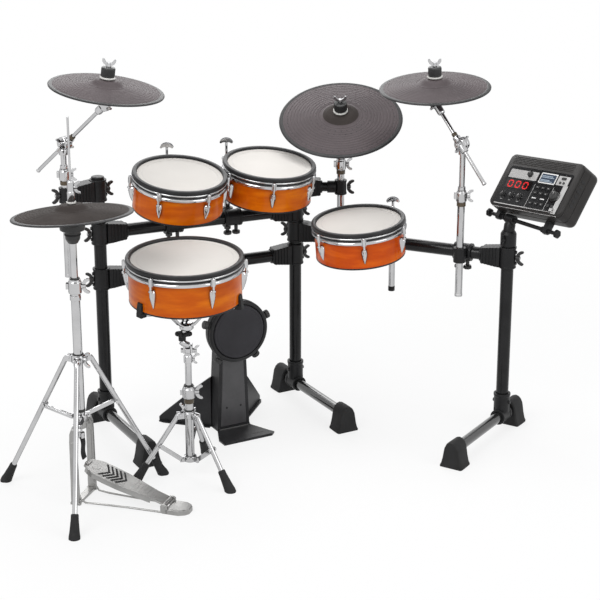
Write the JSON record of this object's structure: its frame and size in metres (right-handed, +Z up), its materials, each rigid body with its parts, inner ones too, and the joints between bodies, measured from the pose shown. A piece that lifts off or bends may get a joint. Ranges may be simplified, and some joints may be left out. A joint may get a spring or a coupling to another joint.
{
  "type": "electronic drum kit",
  "caption": "Electronic drum kit: tube rack with padded drums and rubber cymbal pads, a pedal hi-hat on its tripod, a kick pad tower and a tilting sound module.",
  "frame": {"origin": "middle of the kit's box on the floor", "axes": "+X to the viewer's right along the kit, +Y away from the viewer, +Z up"},
  "size_m": [1.7356, 1.2018, 1.1964],
  "materials": {
    "rack_black": "satin black powder coat",
    "rack_casting": "black moulded casting",
    "foot_rubber": "matte black rubber",
    "chrome": "polished chrome plate",
    "lacquer": "amber-orange clear lacquer on wood veneer",
    "head": "warm white textured drum head",
    "rim_rubber": "black rounded rubber rim",
    "pad_rubber": "dark warm grey grooved rubber",
    "pedal_steel": "satin cast and plated steel",
    "tower_black": "charcoal powder coat",
    "module_case": "dark brown-black fine texture",
    "module_face": "black printed panel",
    "control": "black ribbed knobs and keys"
  },
  "bodies": {
    "root": {"rack_legs": "rack_black", "rack_pipes": "rack_black", "rack_joints": "rack_casting", "rack_rubber_feet": "foot_rubber", "rack_wing_bolts": "rack_casting", "tom_holders": "chrome", "cymbal_stands": "chrome", "hihat_frame": "pedal_steel", "snare_stand_tube": "chrome", "kick_tower": "tower_black", "kick_rim": "rim_rubber", "kick_pad": "pad_rubber", "module_bracket": "rack_black"},
    "tom_1": {"tom_1_shell": "lacquer", "tom_1_head": "head", "tom_1_rim": "rim_rubber", "tom_1_hardware": "chrome"},
    "tom_2": {"tom_2_shell": "lacquer", "tom_2_head": "head", "tom_2_rim": "rim_rubber", "tom_2_hardware": "chrome"},
    "tom_3": {"tom_3_shell": "lacquer", "tom_3_head": "head", "tom_3_rim": "rim_rubber", "tom_3_hardware": "chrome"},
    "snare_lift": {"snare_upper_tube": "chrome"},
    "snare_drum": {"snare_basket": "chrome", "snare_shell": "lacquer", "snare_head": "head", "snare_rim": "rim_rubber", "snare_hardware": "chrome"},
    "snare_collar": {"snare_stand_collar": "chrome"},
    "snare_leg_1": {"snare_stand_leg_1": "chrome"},
    "snare_brace_1": {"snare_stand_brace_1": "chrome"},
    "snare_leg_2": {"snare_stand_leg_2": "chrome"},
    "snare_brace_2": {"snare_stand_brace_2": "chrome"},
    "snare_leg_3": {"snare_stand_leg_3": "chrome"},
    "snare_brace_3": {"snare_stand_brace_3": "chrome"},
    "hihat_collar": {"hihat_collar": "chrome"},
    "hihat_leg_1": {"hihat_leg_1": "chrome"},
    "hihat_brace_1": {"hihat_brace_1": "chrome"},
    "hihat_leg_2": {"hihat_leg_2": "chrome"},
    "hihat_brace_2": {"hihat_brace_2": "chrome"},
    "hihat_leg_3": {"hihat_leg_3": "chrome"},
    "hihat_brace_3": {"hihat_brace_3": "chrome"},
    "hihat_lift": {"hihat_upper_tube": "chrome"},
    "hihat_pedal": {"hihat_footboard": "pedal_steel"},
    "hihat_pull": {"hihat_rod": "chrome"},
    "hihat_top": {"hihat_pad": "pad_rubber"},
    "crash_left": {"crash_left_boom": "chrome"},
    "crash_left_top": {"crash_left_pad": "pad_rubber"},
    "crash_right": {"crash_right_boom": "chrome"},
    "crash_right_top": {"crash_right_pad": "pad_rubber"},
    "ride": {"ride_tilter": "chrome"},
    "ride_top": {"ride_pad": "pad_rubber"},
    "module": {"module_housing": "module_case", "module_panel": "module_face"},
    "module_dial": {"module_dial": "control"},
    "module_volume": {"module_volume": "control"},
    "module_buttons": {"module_buttons": "control"}
  },
  "joints": [
    {"name": "tom_1_tilt", "type": "hinge", "parent": "root", "child": "tom_1", "pos_m": [-0.39507, 0.28626, 0.7965], "axis": [0.9585, 0.2853, 0], "range_deg": [-5, 5]},
    {"name": "tom_2_tilt", "type": "hinge", "parent": "root", "child": "tom_2", "pos_m": [-0.20709, 0.3695, 0.7904], "axis": [0.6447, 0.7645, 0], "range_deg": [-5, 5]},
    {"name": "tom_3_tilt", "type": "hinge", "parent": "root", "child": "tom_3", "pos_m": [0.27515, 0.32284, 0.63734], "axis": [0.8464, -0.5326, 0], "range_deg": [-5, 5]},
    {"name": "snare_height", "type": "slide", "parent": "root", "child": "snare_lift", "axis": [0, 0, 1], "range_m": [-0.04, 0.03]},
    {"name": "snare_tilt", "type": "hinge", "parent": "snare_lift", "child": "snare_drum", "pos_m": [-0.31763, -0.17571, 0.389], "axis": [1, 0, 0], "range_deg": [-4, 8]},
    {"name": "snare_collar_slide", "type": "slide", "parent": "root", "child": "snare_collar", "axis": [0, 0, 1], "range_m": [0, 0.01]},
    {"name": "snare_leg_1_fold", "type": "hinge", "parent": "snare_collar", "child": "snare_leg_1", "pos_m": [-0.31139, -0.14867, 0.194], "axis": [-0.9744, 0.225, 0], "range_deg": [0, 3.65]},
    {"name": "snare_brace_1_fold", "type": "hinge", "parent": "root", "child": "snare_brace_1", "pos_m": [-0.31212, -0.15184, 0.055], "axis": [-0.9744, 0.225, 0], "range_deg": [-5.93, 0]},
    {"name": "snare_leg_2_fold", "type": "hinge", "parent": "snare_collar", "child": "snare_leg_2", "pos_m": [-0.34416, -0.18382, 0.194], "axis": [0.2924, -0.9563, 0], "range_deg": [0, 3.65]},
    {"name": "snare_brace_2_fold", "type": "hinge", "parent": "root", "child": "snare_brace_2", "pos_m": [-0.34106, -0.18287, 0.055], "axis": [0.2924, -0.9563, 0], "range_deg": [-5.93, 0]},
    {"name": "snare_leg_3_fold", "type": "hinge", "parent": "snare_collar", "child": "snare_leg_3", "pos_m": [-0.29733, -0.19464, 0.194], "axis": [0.682, 0.7314, 0], "range_deg": [0, 3.65]},
    {"name": "snare_brace_3_fold", "type": "hinge", "parent": "root", "child": "snare_brace_3", "pos_m": [-0.29971, -0.19242, 0.055], "axis": [0.682, 0.7314, 0], "range_deg": [-5.93, 0]},
    {"name": "hihat_collar_slide", "type": "slide", "parent": "root", "child": "hihat_collar", "axis": [0, 0, 1], "range_m": [0, 0.01]},
    {"name": "hihat_leg_1_fold", "type": "hinge", "parent": "hihat_collar", "child": "hihat_leg_1", "pos_m": [-0.61014, -0.34846, 0.42], "axis": [0.9998, 0.0175, 0], "range_deg": [0, 0.845]},
    {"name": "hihat_brace_1_fold", "type": "hinge", "parent": "root", "child": "hihat_brace_1", "pos_m": [-0.6102, -0.34521, 0.246], "axis": [0.9998, 0.0175, 0], "range_deg": [-5.74, 0]},
    {"name": "hihat_leg_2_fold", "type": "hinge", "parent": "hihat_collar", "child": "hihat_leg_2", "pos_m": [-0.58818, -0.3044, 0.42], "axis": [-0.5878, 0.809, 0], "range_deg": [0, 0.845]},
    {"name": "hihat_brace_2_fold", "type": "hinge", "parent": "root", "child": "hihat_brace_2", "pos_m": [-0.59081, -0.30631, 0.246], "axis": [-0.5878, 0.809, 0], "range_deg": [-5.74, 0]},
    {"name": "hihat_leg_3_fold", "type": "hinge", "parent": "hihat_collar", "child": "hihat_leg_3", "pos_m": [-0.63598, -0.30942, 0.42], "axis": [-0.4067, -0.9135, 0], "range_deg": [0, 0.845]},
    {"name": "hihat_brace_3_fold", "type": "hinge", "parent": "root", "child": "hihat_brace_3", "pos_m": [-0.63301, -0.31074, 0.246], "axis": [-0.4067, -0.9135, 0], "range_deg": [-5.74, 0]},
    {"name": "hihat_height", "type": "slide", "parent": "root", "child": "hihat_lift", "axis": [0, 0, 1], "range_m": [-0.03, 0]},
    {"name": "hihat_press", "type": "hinge", "parent": "root", "child": "hihat_pedal", "pos_m": [-0.36961, -0.40088, 0.02], "axis": [-0.3156, -0.9489, 0], "range_deg": [0, 2.2], "stiffness_Nm_per_rad": 8, "springref_deg": -9.74},
    {"name": "hihat_pull_slide", "type": "slide", "parent": "root", "child": "hihat_pull", "axis": [0, 0, 1], "range_m": [-0.00995, 0]},
    {"name": "hihat_rock", "type": "hinge", "parent": "hihat_pull", "child": "hihat_top", "pos_m": [-0.61122, -0.3198, 0.85744], "axis": [0.998, 0.006, 0.0622], "range_deg": [-3, 3]},
    {"name": "crash_left_boom_tilt", "type": "hinge", "parent": "root", "child": "crash_left", "pos_m": [-0.68863, 0.12429, 0.918], "axis": [0.6172, 0.7868, 0], "range_deg": [-6, 6]},
    {"name": "crash_left_rock", "type": "hinge", "parent": "crash_left", "child": "crash_left_top", "pos_m": [-0.54031, 0.01291, 1.1274], "axis": [0.9903, 0.0056, -0.139], "range_deg": [-4, 4]},
    {"name": "crash_right_boom_tilt", "type": "hinge", "parent": "root", "child": "crash_right", "pos_m": [0.4814, 0.17828, 0.905], "axis": [-0.5978, -0.8017, 0], "range_deg": [-6, 6]},
    {"name": "crash_right_rock", "type": "hinge", "parent": "crash_right", "child": "crash_right_top", "pos_m": [0.39796, 0.2314, 1.08545], "axis": [0.9989, -0.0043, 0.0467], "range_deg": [-4, 4]},
    {"name": "ride_tilt", "type": "hinge", "parent": "root", "child": "ride", "pos_m": [0.12837, 0.43429, 0.84], "axis": [1, 0, 0], "range_deg": [-5, 5]},
    {"name": "ride_rock", "type": "hinge", "parent": "ride", "child": "ride_top", "pos_m": [0.12601, 0.4154, 0.94466], "axis": [0.9993, -0.0157, 0.0348], "range_deg": [-4, 4]},
    {"name": "module_tilt", "type": "hinge", "parent": "root", "child": "module", "pos_m": [0.62837, 0.16029, 0.679], "axis": [0.599, -0.8007, 0], "range_deg": [-5, 5]},
    {"name": "module_dial_turn", "type": "hinge", "parent": "module", "child": "module_dial", "pos_m": [0.73617, 0.02842, 0.78391], "axis": [-0.6584, -0.4211, 0.6239], "range_deg": [-140, 140]},
    {"name": "module_volume_turn", "type": "hinge", "parent": "module", "child": "module_volume", "pos_m": [0.68319, 0.15789, 0.81537], "axis": [-0.6584, -0.4211, 0.6239], "range_deg": [-140, 140]},
    {"name": "module_button_press", "type": "slide", "parent": "module", "child": "module_buttons", "axis": [0.6584, 0.4211, -0.6239], "range_m": [0, 0.0006], "stiffness_N_per_m": 400, "springref_m": -0.0006}
  ],
  "couplings": [
    {"joint": "snare_leg_1_fold", "follows": "snare_collar_slide", "rad_per_m": 6.2442},
    {"joint": "snare_brace_1_fold", "follows": "snare_collar_slide", "rad_per_m": -10.141},
    {"joint": "snare_leg_2_fold", "follows": "snare_collar_slide", "rad_per_m": 6.2442},
    {"joint": "snare_brace_2_fold", "follows": "snare_collar_slide", "rad_per_m": -10.141},
    {"joint": "snare_leg_3_fold", "follows": "snare_collar_slide", "rad_per_m": 6.2442},
    {"joint": "snare_brace_3_fold", "follows": "snare_collar_slide", "rad_per_m": -10.141},
    {"joint": "hihat_leg_1_fold", "follows": "hihat_collar_slide", "rad_per_m": 1.4465},
    {"joint": "hihat_brace_1_fold", "follows": "hihat_collar_slide", "rad_per_m": -9.8136},
    {"joint": "hihat_leg_2_fold", "follows": "hihat_collar_slide", "rad_per_m": 1.4465},
    {"joint": "hihat_brace_2_fold", "follows": "hihat_collar_slide", "rad_per_m": -9.8136},
    {"joint": "hihat_leg_3_fold", "follows": "hihat_collar_slide", "rad_per_m": 1.4465},
    {"joint": "hihat_brace_3_fold", "follows": "hihat_collar_slide", "rad_per_m": -9.8136},
    {"joint": "hihat_pull_slide", "follows": "hihat_press", "m_per_rad": -0.254}
  ]
}
